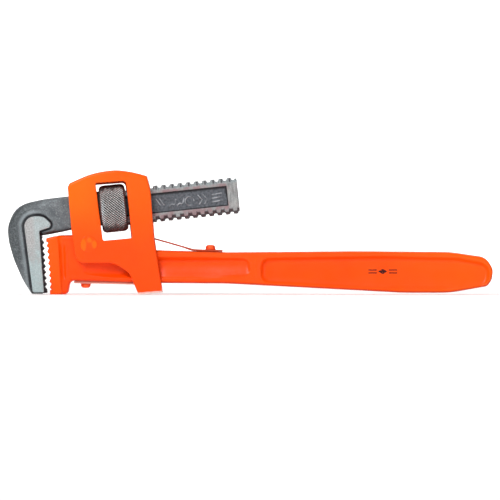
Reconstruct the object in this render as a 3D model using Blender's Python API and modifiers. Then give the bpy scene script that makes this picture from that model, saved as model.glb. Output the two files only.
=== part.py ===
"""A 350 mm pipe wrench with its jaws almost closed, standing on its heel jaw and the belly of its grip.

Every outline is drawn in the wrench's own plane, in millimetres: x runs along the handle from the jaws
to the grip's end, with 0 at the middle of the wrench, and z runs up from the surface that it stands on.
The thickness runs across that plane, along y. The shank of the hook jaw, its thread and the nut are
drawn in a second frame, whose x runs along the shank's axis from the middle of the nut.
"""

import math

import bmesh
import bpy
from mathutils import Matrix, Vector

MM = 0.001
GAP = 0.3
SAGITTA = 0.04  # how far the flats of an arc may stand off the true round
THROUGH = 30.0  # a half width that is more than any piece's
ROUND_STEPS = 32

# Half widths across the wrench, from its middle plane.
HANDLE_HALF = 7.6
FRONT_WEB_HALF = 4.2
GRIP_WEB_HALF = 4.8
HEEL_HALF = 9.4
FRAME_HALF = 11.5
FRAME_PLATE = 2.8
FRAME_INNER_HALF = FRAME_HALF - FRAME_PLATE
BRIDGE_HALF = FRAME_INNER_HALF + FRAME_PLATE / 2
HOOK_HALF = 7.8
HOOK_TEETH_HALF = 9.0
HOOK_PAD_HALF = 9.6
SHANK_HALF = 5.4
SHANK_PANEL_HALF = 4.3
SPRING_HALF = 4.6

# The frame's pivot in the handle, a line along the foot of its leg, how far its two windows are out of
# line, and the shank's axis: the nut's middle and the rise towards the grip.
PIVOT = (-100.3, 31.2)
LEG_FOOT = ((-70.0, 0.0), (-50.0, 1.6))
FAR_WINDOW_SHIFT = (-0.9, -1.0)
NUT_CENTRE = (-85.3, 53.35)
SHANK_RISE = math.radians(6)

# The thread, of 5 turns to the inch, on the shank and in the nut.
PITCH = 5.08
CREST_R = 11.35
THREAD_DEPTH = 1.4
ROOT_R = CREST_R - THREAD_DEPTH
CREST_WIDTH = 2.2
FLANK_WIDTH = 0.65
THREAD_GAP = 0.28
THREAD_STEPS = 36
THREAD_LEAD = PITCH / 2  # from the nut's middle to where a crest begins under the axis
NECK_END = -10.4  # where the plain neck of the hook ends and the thread begins, along the shank
NECK_TOP = 10.2
NECK_FOOT = -9.9
SHANK_END = 77.8
SHANK_CHAMFER = 1.4
PANEL_ENDS = (-7.0, 71.2)
PANEL_TOP = 6.6
PANEL_FOOT = -5.9

NUT_R = 14.75
NUT_LENGTH = 16.4
NUT_CHAMFER = 1.7
NUT_STEPS = 48

# Each row of teeth runs down between two points on its roots.
TOOTH_PITCH = 3.68
TOOTH_LEAN = 0.6  # where the tip stands along the pitch
TOOTH_DEPTH = 1.35
HEEL_ROOTS = ((-125.4, 32.3), (-123.1, 2.9))
HOOK_ROOTS = ((-129.9, 34.2), (-127.9, 4.8))
JAW_LAND = 1.3  # how far the blunt ends of a row of teeth stand out from its roots

PIN_R = 3.4
PIN_HEAD_R = 4.6
PIN_HEAD = 0.9

SPRING_THICKNESS = 1.0
RIVET_R = 1.6
RIVET_HEAD_R = 3.1
RIVET_DEPTH = 4.5
RIVET_STEPS = 20
UPPER_RIVET = {"x": -25.2, "face": 26.4, "up": 1, "head": 2.8}
LOWER_RIVET = {"x": -102.5, "face": 8.1, "up": -1, "head": 2.5}

PAINT = ("orange_paint", (1.0, 0.13, 0.013, 1), 0.3, 0.0)
FORGED = ("forged_steel", (0.17, 0.18, 0.19, 1), 0.5, 0.8)
KNURLED = ("knurled_steel", (0.2, 0.19, 0.18, 1), 0.42, 0.9)

# Turns a shape drawn in x and y upright, so that its y becomes the wrench's z.
UPRIGHT = Matrix.Rotation(math.pi / 2, 4, "X")


def at(x, z):
    return Matrix.Translation((x * MM, 0, z * MM))


SHANK_AXIS = at(*NUT_CENTRE) @ Matrix.Rotation(-SHANK_RISE, 4, "Y")


def on_shank(along, across):
    """A point given along and across the shank's axis, in the wrench's plane."""
    point = SHANK_AXIS @ Vector((along * MM, 0, across * MM))
    return (point.x / MM, point.z / MM)


# ---------------------------------------------------------------- outlines


def rounded(corners):
    """A closed outline from (x, z, radius) corners, each turned by an arc of its radius."""
    points = []
    for i, (x, z, radius) in enumerate(corners):
        if radius == 0:
            points.append((x, z))
            continue
        corner = Vector((x, z))
        before = (Vector(corners[i - 1][:2]) - corner).normalized()
        after = (Vector(corners[(i + 1) % len(corners)][:2]) - corner).normalized()
        half = before.angle(after) / 2
        centre = corner + (before + after).normalized() * (radius / math.sin(half))
        reach = radius / math.tan(half)
        first = corner + before * reach - centre
        turn = math.pi - 2 * half
        side = math.copysign(1, before.x * after.y - before.y * after.x)
        steps = max(1, math.ceil(turn / (2 * math.acos(1 - SAGITTA / radius))))
        for k in range(steps + 1):
            spoke = Matrix.Rotation(-side * turn * k / steps, 2) @ first
            points.append(tuple(centre + spoke))
    return points


def smooth_line(points, steps):
    """A Catmull-Rom curve through the points, with this many steps from each to the next."""
    ends = [points[0], *points, points[-1]]
    line = []
    for a, b, c, d in zip(ends, ends[1:], ends[2:], ends[3:]):
        for k in range(steps):
            t = k / steps
            weights = (
                (2 * t * t - t - t**3) / 2,
                (2 - 5 * t * t + 3 * t**3) / 2,
                (t + 4 * t * t - 3 * t**3) / 2,
                (t**3 - t * t) / 2,
            )
            line.append(tuple(sum(w * p[i] for w, p in zip(weights, (a, b, c, d))) for i in (0, 1)))
    return line + [points[-1]]


def strip(line, thickness):
    """The closed outline of a leaf of even thickness along a line."""
    above, below = [], []
    for i, point in enumerate(line):
        along = Vector(line[min(i + 1, len(line) - 1)]) - Vector(line[max(i - 1, 0)])
        out = along.normalized().orthogonal() * thickness / 2
        above.append(tuple(Vector(point) + out))
        below.append(tuple(Vector(point) - out))
    return above + below[::-1]


def teeth(roots, side):
    """A row of saw teeth down a line of roots, with their tips to the given side of it along x."""
    start, end = Vector(roots[0]), Vector(roots[1])
    count = round((end - start).length / TOOTH_PITCH)
    step = (end - start) / count
    out = step.normalized().orthogonal()
    out *= math.copysign(TOOTH_DEPTH, side * out.x)
    row = []
    for k in range(count):
        root = start + step * k
        row += [tuple(root), tuple(root + step * TOOTH_LEAN + out)]
    return row + [tuple(end)]


# ---------------------------------------------------------------- tools for making solids


def collection(name):
    made = bpy.data.collections.new(name)
    bpy.context.scene.collection.children.link(made)
    return made


def material(finish):
    name, colour, roughness, metallic = finish
    made = bpy.data.materials.get(name) or bpy.data.materials.new(name)
    made.use_nodes = True
    shader = made.node_tree.nodes["Principled BSDF"]
    shader.inputs["Base Color"].default_value = colour
    shader.inputs["Roughness"].default_value = roughness
    shader.inputs["Metallic"].default_value = metallic
    return made


def new_object(name, mesh, home, matrix):
    made = bpy.data.objects.new(name, mesh)
    home.objects.link(made)
    made.matrix_world = matrix
    return made


def as_mesh(source):
    """Takes the evaluated mesh of an object, with its caps welded on, and removes the object."""
    bpy.context.view_layer.update()
    graph = bpy.context.evaluated_depsgraph_get()
    mesh = bpy.data.meshes.new_from_object(source.evaluated_get(graph))
    bpy.data.objects.remove(source)
    work = bmesh.new()
    work.from_mesh(mesh)
    bmesh.ops.remove_doubles(work, verts=work.verts, dist=0.001 * MM)
    return mesh, work


def plate(name, outline, low, high, home, origin=(0, 0), place=None):
    """An outline in the wrench's plane, filled and extruded across it from y = low to y = high."""
    curve = bpy.data.curves.new(name, "CURVE")
    curve.dimensions = "2D"
    curve.fill_mode = "BOTH"
    curve.extrude = (high - low) / 2 * MM
    spline = curve.splines.new("POLY")
    spline.points.add(len(outline) - 1)
    for point, (x, z) in zip(spline.points, outline):
        point.co = ((x - origin[0]) * MM, (z - origin[1]) * MM, 0, 1)
    spline.use_cyclic_u = True
    drawn = new_object(name + "_outline", curve, home, Matrix())
    mesh, work = as_mesh(drawn)
    bmesh.ops.recalc_face_normals(work, faces=work.faces)
    bmesh.ops.translate(work, verts=work.verts, vec=(0, 0, -(low + high) / 2 * MM))
    work.to_mesh(mesh)
    work.free()
    mesh.name = name
    return new_object(name, mesh, home, (place or at(*origin)) @ UPRIGHT)


def profile_mesh(name, profile):
    """A line of (radius, height) points, for a Screw modifier to sweep."""
    mesh = bpy.data.meshes.new(name)
    points = [(radius * MM, 0, height * MM) for radius, height in profile]
    mesh.from_pydata(points, [(i, i + 1) for i in range(len(points) - 1)], [])
    return mesh


def turned(name, profile, steps, home, matrix):
    """A solid turned about its own z. The profile runs down from the top to the bottom of the axis."""
    made = new_object(name, profile_mesh(name, profile), home, matrix)
    sweep = made.modifiers.new("turn", "SCREW")
    sweep.steps = sweep.render_steps = steps
    sweep.use_merge_vertices = True
    sweep.merge_threshold = 0.001 * MM
    sweep.use_smooth_shade = False
    return made


def cylinder(name, radius, low, high, home, matrix, steps=ROUND_STEPS):
    return turned(name, [(0, high), (radius, high), (radius, low), (0, low)], steps, home, matrix)


def threaded_rod(name, root_r, crest_r, crest_width, start, end, home):
    """A right-hand threaded rod along the shank's axis, reaching past start and end to be cut off there."""
    root_width = PITCH - crest_width - 2 * FLANK_WIDTH
    profile = [
        (root_r, PITCH),
        (root_r, PITCH - root_width),
        (crest_r, PITCH - root_width - FLANK_WIDTH),
        (crest_r, FLANK_WIDTH),
        (root_r, 0),
    ]
    first_turn = math.floor(start / PITCH) - 2
    turns = math.ceil(end / PITCH) + 2 - first_turn
    rod = new_object(name + "_sweep", profile_mesh(name, profile), home, Matrix())
    sweep = rod.modifiers.new("thread", "SCREW")
    sweep.screw_offset = PITCH * MM
    sweep.iterations = turns
    sweep.steps = sweep.render_steps = THREAD_STEPS
    sweep.use_merge_vertices = True
    sweep.merge_threshold = 0.001 * MM
    mesh, work = as_mesh(rod)
    bmesh.ops.translate(work, verts=work.verts, vec=(0, 0, (first_turn * PITCH + THREAD_LEAD) * MM))
    # Each open end is drawn together to a point on the axis.
    open_edges = [edge for edge in work.edges if edge.is_boundary]
    middle = ((first_turn + turns / 2) * PITCH + THREAD_LEAD) * MM
    for side in (-1, 1):
        rim = [e for e in open_edges if side * (e.verts[0].co.z - middle) > 0]
        cap = bmesh.ops.extrude_edge_only(work, edges=rim)["geom"]
        points = [part for part in cap if isinstance(part, bmesh.types.BMVert)]
        tip = middle + side * (turns / 2 + 1) * PITCH * MM
        bmesh.ops.pointmerge(work, verts=points, merge_co=(0, 0, tip))
    bmesh.ops.recalc_face_normals(work, faces=work.faces)
    work.to_mesh(mesh)
    work.free()
    return new_object(name, mesh, home, SHANK_AXIS @ Matrix.Rotation(math.pi / 2, 4, "Y"))


def combine(piece, other, operation):
    """Cuts, joins or trims a piece with another object, which becomes a hidden helper."""
    step = piece.modifiers.new(operation.lower() + "_" + other.name, "BOOLEAN")
    step.operation = operation
    step.object = other
    other.hide_render = True
    other.display_type = "WIRE"


def cut_both_sides(piece, name, outline, inner, tools, place=None):
    """Sinks the same pocket into both sides of a piece, down to a half width of inner."""
    combine(piece, plate(name + "_near", outline, -THROUGH, -inner, tools, place=place), "DIFFERENCE")
    combine(piece, plate(name + "_far", outline, inner, THROUGH, tools, place=place), "DIFFERENCE")


def paint(piece, finish, parent):
    piece.data.materials.clear()
    piece.data.materials.append(material(finish))
    placed = piece.matrix_world.copy()
    piece.parent = parent
    piece.matrix_parent_inverse = parent.matrix_world.inverted()
    piece.matrix_world = placed


# ---------------------------------------------------------------- outlines of the pieces


def handle_outline():
    """The forged handle, from behind the teeth of its heel jaw to the grip's end."""
    return rounded(
        [
            (-124.6, 35.0, 1.5),
            (-118.5, 36.7, 9.0),
            (-95.5, 37.2, 5.0),
            (-86.0, 28.4, 9.0),
            (-16.0, 26.2, 300.0),
            (66.0, 26.9, 300.0),
            (123.0, 26.4, 60.0),
            (145.4, 23.2, 9.0),
            (150.2, 15.5, 8.0),
            (149.2, 9.0, 7.0),
            (146.4, 5.0, 4.0),
            (123.0, 0.95, 60.0),
            (94.2, 0.95, 200.0),
            (-14.0, 6.6, 160.0),
            (-62.0, 7.0, 60.0),
            (-111.6, 8.4, 2.5),
            (-113.3, 0.0, 3.0),
            (-121.6, 0.0, 0.0),
        ]
    )


def heel_outline():
    """The toothed block of the heel jaw, which is thicker than the rest of the handle."""
    (top_x, top_z), (foot_x, foot_z) = HEEL_ROOTS
    back = rounded(
        [
            (foot_x - JAW_LAND, foot_z, 0.0),
            (foot_x - JAW_LAND, 0.0, 0.5),
            (-117.4, 0.0, 1.0),
            (-119.6, 36.5, 1.6),
            (top_x - JAW_LAND - 0.2, 34.8, 0.8),
            (top_x - JAW_LAND, top_z, 0.0),
        ]
    )
    return teeth(HEEL_ROOTS, -1) + back


def front_pocket_outline():
    return rounded([(-104.0, 12.0, 4.0), (-104.0, 21.6, 4.0), (-1.4, 21.6, 4.0), (-1.4, 11.6, 4.0)])


def grip_pocket_outline():
    return rounded(
        [
            (7.2, 21.4, 4.5),
            (80.0, 22.6, 150.0),
            (128.0, 21.4, 30.0),
            (147.4, 17.6, 6.0),
            (145.0, 6.6, 5.0),
            (121.0, 3.7, 60.0),
            (95.0, 3.6, 150.0),
            (7.2, 8.4, 4.5),
        ]
    )


def frame_arch():
    return smooth_line([(-112.2, 68.8), (-99.0, 74.3), (-85.5, 76.7), (-74.5, 75.8), (-64.5, 73.3)], 5)


def frame_outline():
    """A cheek of the frame: arched above the shank, with a leg that reaches below the handle."""
    arch = frame_arch()
    sides = rounded(
        [
            (*arch[-1], 0.0),
            (-62.1, 64.0, 30.0),
            (-60.0, 35.0, 60.0),
            (-54.8, 1.2, 0.0),
            (-69.6, 0.0, 0.0),
            (-75.4, 13.6, 9.0),
            (-84.9, 19.4, 12.0),
            (-107.8, 19.3, 5.5),
            (-110.9, 38.0, 80.0),
            (-113.4, 66.4, 1.0),
            (*arch[0], 0.0),
        ]
    )
    return arch + sides[1:-1]


def frame_hollow_outline():
    """The space between the cheeks, open at both ends, below the arched top and above the foot of the leg."""
    inner_arch = [(x, z - FRAME_PLATE) for x, z in frame_arch()]
    (heel_x, heel_z), (toe_x, toe_z) = LEG_FOOT
    mouth_x = -125.0
    return [
        (mouth_x, inner_arch[0][1] - 3.0),
        *inner_arch,
        (toe_x, inner_arch[-1][1] - 4.0),
        (toe_x, toe_z + FRAME_PLATE),
        (heel_x, heel_z + FRAME_PLATE),
        (mouth_x, heel_z + FRAME_PLATE),
    ]


def window_outline():
    return rounded([(-96.2, 68.9, 1.0), (-77.4, 70.3, 2.4), (-73.6, 34.9, 1.0), (-91.6, 33.2, 1.0)])


def rear_bridge_outline():
    """The web between the cheeks that carries the shank and takes the push of the upper spring."""
    return rounded([(-72.0, 36.8, 1.0), (-62.0, 37.2, 1.0), (-62.2, 42.2, 1.0), (-71.8, 41.2, 1.0)])


def hook_outline():
    """The hook from its neck, over the back and down to its nose, without its teeth and their pad."""
    back = smooth_line(
        [
            (-135.8, 0.4),
            (-141.0, 8.6),
            (-146.6, 21.0),
            (-150.2, 34.0),
            (-149.9, 44.4),
            (-143.8, 54.0),
            (-132.0, 58.2),
            on_shank(-30.0, NECK_TOP),
            on_shank(NECK_END, NECK_TOP),
        ],
        4,
    )
    neck = on_shank(NECK_END, NECK_FOOT)
    throat = smooth_line([neck, (-111.1, 40.0), (-122.0, 37.8), (-131.2, 36.2)], 3)
    return back + throat + [(-129.2, 0.4)]


def hook_teeth_outline():
    """The toothed strip down the inside of the hook, from its corner to the blunt last tooth."""
    (top_x, top_z), (foot_x, foot_z) = HOOK_ROOTS
    nose = [(foot_x + JAW_LAND, foot_z - 1.8), (foot_x + JAW_LAND + 0.1, 0.9)]
    return teeth(HOOK_ROOTS, 1) + nose + [(-134.0, 0.9), (-136.0, 37.0), (-131.0, 37.0), (top_x + 0.5, 35.9)]


def hook_pad_outline():
    """The ground pad beside the teeth, with its round head in the corner of the hook."""
    return rounded(
        [
            (-128.0, 1.3, 0.6),
            (-135.0, 1.3, 1.2),
            (-141.0, 47.8, 6.2),
            (-128.9, 48.6, 7.0),
            (-121.9, 42.2, 2.2),
            (-130.9, 39.3, 0.8),
        ]
    )


# ---------------------------------------------------------------- pieces


def rivet_place(rivet):
    """The frame of a rivet: its z points out of the handle, and its origin is on the handle's face."""
    return at(rivet["x"], rivet["face"]) @ Matrix.Rotation(0 if rivet["up"] > 0 else math.pi, 4, "X")


def make_handle(home, tools, root):
    handle = plate("handle", handle_outline(), -HANDLE_HALF, HANDLE_HALF, home)
    combine(handle, plate("heel_block", heel_outline(), -HEEL_HALF, HEEL_HALF, tools), "UNION")
    cut_both_sides(handle, "front_pocket", front_pocket_outline(), FRONT_WEB_HALF, tools)
    cut_both_sides(handle, "grip_pocket", grip_pocket_outline(), GRIP_WEB_HALF, tools)
    pivot = at(*PIVOT) @ UPRIGHT
    combine(handle, cylinder("pivot_bore", PIN_R + GAP, -THROUGH, THROUGH, tools, pivot), "DIFFERENCE")
    for name, rivet in (("upper_rivet_hole", UPPER_RIVET), ("lower_rivet_hole", LOWER_RIVET)):
        hole = cylinder(name, RIVET_R + GAP, -RIVET_DEPTH - GAP, GAP, tools, rivet_place(rivet), RIVET_STEPS)
        combine(handle, hole, "DIFFERENCE")
    paint(handle, PAINT, root)


def make_frame(home, tools, root):
    frame = plate("frame", frame_outline(), -FRAME_HALF, FRAME_HALF, home, origin=PIVOT)
    hollow = plate("frame_hollow", frame_hollow_outline(), -FRAME_INNER_HALF, FRAME_INNER_HALF, tools)
    combine(frame, hollow, "DIFFERENCE")
    near_window = window_outline()
    far_window = [(x + FAR_WINDOW_SHIFT[0], z + FAR_WINDOW_SHIFT[1]) for x, z in near_window]
    combine(frame, plate("near_window", near_window, -THROUGH, 0, tools), "DIFFERENCE")
    combine(frame, plate("far_window", far_window, 0, THROUGH, tools), "DIFFERENCE")
    combine(frame, plate("rear_bridge", rear_bridge_outline(), -BRIDGE_HALF, BRIDGE_HALF, tools), "UNION")
    pivot = at(*PIVOT) @ UPRIGHT
    combine(frame, cylinder("frame_bore", PIN_R + GAP, -THROUGH, THROUGH, tools, pivot), "DIFFERENCE")
    paint(frame, PAINT, root)


def make_pivot_pin(home, root):
    """The pin through both cheeks and the handle, with a head peened over at each end."""
    seat = FRAME_HALF + GAP
    half = [
        (0, seat + PIN_HEAD),
        (PIN_HEAD_R * 0.6, seat + PIN_HEAD),
        (PIN_HEAD_R * 0.92, seat + PIN_HEAD * 0.6),
        (PIN_HEAD_R, seat),
        (PIN_R, seat),
    ]
    profile = half + [(radius, -height) for radius, height in reversed(half)]
    paint(turned("pivot_pin", profile, ROUND_STEPS, home, at(*PIVOT) @ UPRIGHT), PAINT, root)


def make_nut(home, tools, root):
    half = NUT_LENGTH / 2
    profile = [
        (0, half),
        (NUT_R - NUT_CHAMFER, half),
        (NUT_R, half - NUT_CHAMFER),
        (NUT_R, -half + NUT_CHAMFER),
        (NUT_R - NUT_CHAMFER, -half),
        (0, -half),
    ]
    lying = SHANK_AXIS @ Matrix.Rotation(math.pi / 2, 4, "Y")
    nut = turned("adjusting_nut", profile, NUT_STEPS, home, lying)
    crest_width = CREST_WIDTH + 2 * THREAD_GAP
    tap = threaded_rod("nut_tap", ROOT_R + THREAD_GAP, CREST_R + THREAD_GAP, crest_width, -half, half, tools)
    tap.matrix_world = SHANK_AXIS @ at(-THREAD_GAP, 0) @ Matrix.Rotation(math.pi / 2, 4, "Y")
    combine(nut, tap, "DIFFERENCE")
    paint(nut, KNURLED, root)


def shank_slab_outline():
    """The flat-sided bar that the shank's thread is left on, with its end chamfered."""
    overlap = 3.0
    far = CREST_R + SHANK_CHAMFER
    return [
        (NECK_END - overlap, -far),
        (SHANK_END - 2 * SHANK_CHAMFER, -far),
        (SHANK_END, -far + 2 * SHANK_CHAMFER),
        (SHANK_END, far - 2 * SHANK_CHAMFER),
        (SHANK_END - 2 * SHANK_CHAMFER, far),
        (NECK_END - overlap, far),
    ]


def make_hook_jaw(home, tools, root):
    jaw = plate("hook_jaw", hook_outline(), -HOOK_HALF, HOOK_HALF, home, origin=NUT_CENTRE)
    half = HOOK_TEETH_HALF
    combine(jaw, plate("hook_teeth", hook_teeth_outline(), -half, half, tools), "UNION")
    combine(jaw, plate("hook_pad", hook_pad_outline(), -HOOK_PAD_HALF, HOOK_PAD_HALF, tools), "UNION")
    shank = threaded_rod("shank_thread", ROOT_R, CREST_R, CREST_WIDTH, NECK_END, SHANK_END, tools)
    slab = plate("shank_slab", shank_slab_outline(), -SHANK_HALF, SHANK_HALF, tools, place=SHANK_AXIS)
    combine(shank, slab, "INTERSECT")
    combine(jaw, shank, "UNION")
    low, high = PANEL_ENDS
    panel = rounded(
        [(low, PANEL_TOP, 1.5), (high, PANEL_TOP, 0.8), (high, PANEL_FOOT, 0.8), (low, PANEL_FOOT, 1.5)]
    )
    cut_both_sides(jaw, "shank_panel", panel, SHANK_PANEL_HALF, tools, place=SHANK_AXIS)
    paint(jaw, FORGED, root)


def make_spring(name, line, rivet, home, tools, root):
    """A leaf spring along a line, with a hole for its rivet."""
    spring = plate(name, strip(line, SPRING_THICKNESS), -SPRING_HALF, SPRING_HALF, home)
    reach = 2 * (SPRING_THICKNESS + GAP)
    hole = cylinder(name + "_hole", RIVET_R + GAP, -reach, reach, tools, rivet_place(rivet), RIVET_STEPS)
    combine(spring, hole, "DIFFERENCE")
    paint(spring, PAINT, root)


def make_rivet(name, rivet, home, root):
    """A round-headed rivet through a spring into the handle."""
    seat = SPRING_THICKNESS + 2 * GAP
    top = seat + rivet["head"]
    profile = [
        (0, top),
        (RIVET_HEAD_R * 0.6, top),
        (RIVET_HEAD_R * 0.9, top - 0.4),
        (RIVET_HEAD_R, top - 1.1),
        (RIVET_HEAD_R, seat),
        (RIVET_R, seat),
        (RIVET_R, -RIVET_DEPTH),
        (0, -RIVET_DEPTH),
    ]
    paint(turned(name, profile, RIVET_STEPS, home, rivet_place(rivet)), PAINT, root)


def upper_spring_line():
    """Flat on the top of the handle under its rivet, then up into the frame to bear on the rear bridge."""
    flat = UPPER_RIVET["face"] + GAP + SPRING_THICKNESS / 2
    bend = (-36.0, flat + 0.45)
    rising = smooth_line([bend, (-41.0, 29.1), (-59.3, 34.3), (-67.5, 35.85), (-71.5, 35.9)], 3)
    return [(-18.1, flat - 0.1), (-30.0, flat + 0.15), *rising]


def lower_spring_line():
    """Flat on the underside of the handle under its rivet, then down to bear on the foot of the leg."""
    flat = LOWER_RIVET["face"] - GAP - SPRING_THICKNESS / 2
    bent = smooth_line([(-98.0, flat - 0.15), (-84.0, flat - 0.5), (-72.0, flat - 0.85), (-60.5, flat - 1.1)], 3)
    return [(-109.2, flat + 0.1), *bent]


def main():
    for old in list(bpy.data.objects):
        bpy.data.objects.remove(old)
    home = collection("pipe_wrench")
    tools = collection("cutters")
    root = new_object("wrench_base", None, home, Matrix())
    make_handle(home, tools, root)
    make_frame(home, tools, root)
    make_pivot_pin(home, root)
    make_nut(home, tools, root)
    make_hook_jaw(home, tools, root)
    make_spring("upper_spring", upper_spring_line(), UPPER_RIVET, home, tools, root)
    make_spring("lower_spring", lower_spring_line(), LOWER_RIVET, home, tools, root)
    make_rivet("upper_rivet", UPPER_RIVET, home, root)
    make_rivet("lower_rivet", LOWER_RIVET, home, root)
    tools.hide_render = True


main()
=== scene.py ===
"""The looks of the pipe wrench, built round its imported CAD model.

Each visible piece is drawn as a signed distance field in millimetres: a formula that is negative inside
the piece and grows with the distance from its surface. Rounded edges, fillets, teeth, threads and the
knurl are terms of that formula, and solid() turns it into a fine mesh.
"""

import math

import bpy
import numpy as np
from mathutils import Matrix, Vector


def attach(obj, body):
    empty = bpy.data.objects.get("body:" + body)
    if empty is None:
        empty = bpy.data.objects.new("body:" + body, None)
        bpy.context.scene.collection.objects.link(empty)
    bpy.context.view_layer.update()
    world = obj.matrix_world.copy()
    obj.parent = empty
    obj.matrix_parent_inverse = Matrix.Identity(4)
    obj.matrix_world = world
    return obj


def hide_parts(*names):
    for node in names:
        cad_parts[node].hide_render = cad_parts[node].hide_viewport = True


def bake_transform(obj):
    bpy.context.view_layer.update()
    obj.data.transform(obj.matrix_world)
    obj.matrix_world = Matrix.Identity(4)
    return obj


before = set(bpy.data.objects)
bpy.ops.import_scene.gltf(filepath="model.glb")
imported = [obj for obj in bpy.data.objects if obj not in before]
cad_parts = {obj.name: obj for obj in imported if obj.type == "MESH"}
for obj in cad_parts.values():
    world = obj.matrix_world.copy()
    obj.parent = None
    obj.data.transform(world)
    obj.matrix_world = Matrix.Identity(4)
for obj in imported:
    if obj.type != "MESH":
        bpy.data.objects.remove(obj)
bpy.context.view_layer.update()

MM = 0.001

# ---------------- the CAD model's own sizes, in millimetres

# Half thicknesses, from the middle plane of the wrench to a face.
HANDLE_HALF = 7.6
FRONT_WEB_HALF = 4.2
GRIP_WEB_HALF = 4.8
HEEL_HALF = 9.4
FRAME_HALF = 11.5
FRAME_PLATE = 2.8  # the whole thickness of a cheek
FRAME_INNER_HALF = FRAME_HALF - FRAME_PLATE
BRIDGE_HALF = FRAME_INNER_HALF + FRAME_PLATE / 2
HOOK_HALF = 7.8
HOOK_TEETH_HALF = 9.0
HOOK_PAD_HALF = 9.6
SHANK_HALF = 5.4
SHANK_PANEL_HALF = 4.3
SPRING_HALF = 4.6

# Places as (x, z), and the slope of the shank.
PIVOT = (-100.3, 31.2)
FOOT_CORNERS = ((-69.6, 0.0), (-54.8, 1.2))  # the ends of the foot of the frame's leg
LEG_FOOT = ((-70.0, 0.0), (-50.0, 1.6))  # the line that the hollow inside the leg keeps off
FAR_WINDOW_SHIFT = (-0.9, -1.0)
MARK_CENTRE = (81.5, 14.2)
NUT_CENTRE = (-85.3, 53.35)
SHANK_RISE = math.radians(6)

# The thread, of 5 turns to the inch, on the shank and in the nut.
PITCH = 5.08
CREST_R = 11.35
THREAD_DEPTH = 1.4
CREST_WIDTH = 2.2
FLANK_WIDTH = 0.65
THREAD_GAP = 0.28
THREAD_LEAD = PITCH / 2  # from the nut's middle to where a crest begins under the axis

# The shank, along and across its own axis from the nut's middle.
NECK_END = -10.4  # where the plain neck of the hook ends and the thread begins
NECK_TOP = 10.2
NECK_FOOT = -9.9
SHANK_END = 77.8
PANEL_ENDS = (-7.0, 71.2)
PANEL_TOP = 6.6
PANEL_FOOT = -5.9

NUT_R = 14.75
NUT_LENGTH = 16.4
NUT_CHAMFER = 1.7

# The teeth of both jaws, whose roots stand along lines from the top down.
TOOTH_PITCH = 3.68
TOOTH_LEAN = 0.6  # where the tip stands along the pitch
TOOTH_DEPTH = 1.35
HEEL_ROOTS = ((-125.4, 32.3), (-123.1, 2.9))
HOOK_ROOTS = ((-129.9, 34.2), (-127.9, 4.8))
JAW_LAND = 1.3  # how far the blunt ends of a row of teeth stand out from its roots

# The pin, the rivets and the springs.
PIN_R = 3.4
PIN_HEAD_R = 4.6
RIVET_HEAD_R = 3.1
RIVET_R = 1.6
SPRING_THICKNESS = 1.0
GAP = 0.3
UPPER_RIVET = {"x": -25.2, "face": 26.4, "up": 1, "head": 2.8}
LOWER_RIVET = {"x": -102.5, "face": 8.1, "up": -1, "head": 2.5}

SAGITTA = 0.006  # how far the flats of an arc may stand off the true round
RELIEF_HEIGHT = 0.5  # how far the pattern in the shank's panel is raised

SHANK_AXIS = Matrix.Translation((NUT_CENTRE[0], 0, NUT_CENTRE[1])) @ Matrix.Rotation(-SHANK_RISE, 4, "Y")


# ---------------- outlines, as in the CAD model


def on_shank(along, across):
    """The place in the wrench, as (x, z), of a point given along and across the shank."""
    point = SHANK_AXIS @ Vector((along, 0, across))
    return (point.x, point.z)


def rounded(corners):
    """A closed outline from (x, z, radius) corners, each turned by an arc of its radius."""
    points = []
    for i, (x, z, radius) in enumerate(corners):
        if radius == 0:
            points.append((x, z))
            continue
        corner = Vector((x, z))
        before = (Vector(corners[i - 1][:2]) - corner).normalized()
        after = (Vector(corners[(i + 1) % len(corners)][:2]) - corner).normalized()
        half = before.angle(after) / 2
        centre = corner + (before + after).normalized() * (radius / math.sin(half))
        first = corner + before * radius / math.tan(half) - centre
        turn = math.pi - 2 * half
        side = math.copysign(1, before.x * after.y - before.y * after.x)
        steps = max(1, math.ceil(turn / (2 * math.acos(1 - SAGITTA / radius))))
        for k in range(steps + 1):
            points.append(tuple(centre + Matrix.Rotation(-side * turn * k / steps, 2) @ first))
    return points


def smooth_line(points, steps):
    """A Catmull-Rom curve through the points, with this many steps from each to the next."""
    ends = [points[0], *points, points[-1]]
    line = []
    for a, b, c, d in zip(ends, ends[1:], ends[2:], ends[3:]):
        for k in range(steps):
            t = k / steps
            weights = (
                (2 * t * t - t - t**3) / 2,
                (2 - 5 * t * t + 3 * t**3) / 2,
                (t + 4 * t * t - 3 * t**3) / 2,
                (t**3 - t * t) / 2,
            )
            line.append(tuple(sum(w * p[i] for w, p in zip(weights, (a, b, c, d))) for i in (0, 1)))
    return line + [points[-1]]


def teeth(roots, side):
    """A row of saw teeth down a line of roots, with their tips to the given side of it along x."""
    start, end = Vector(roots[0]), Vector(roots[1])
    count = round((end - start).length / TOOTH_PITCH)
    step = (end - start) / count
    out = step.normalized().orthogonal()
    out *= math.copysign(TOOTH_DEPTH, side * out.x)
    row = []
    for k in range(count):
        root = start + step * k
        row += [tuple(root), tuple(root + step * TOOTH_LEAN + out)]
    return row + [tuple(end)]


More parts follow.
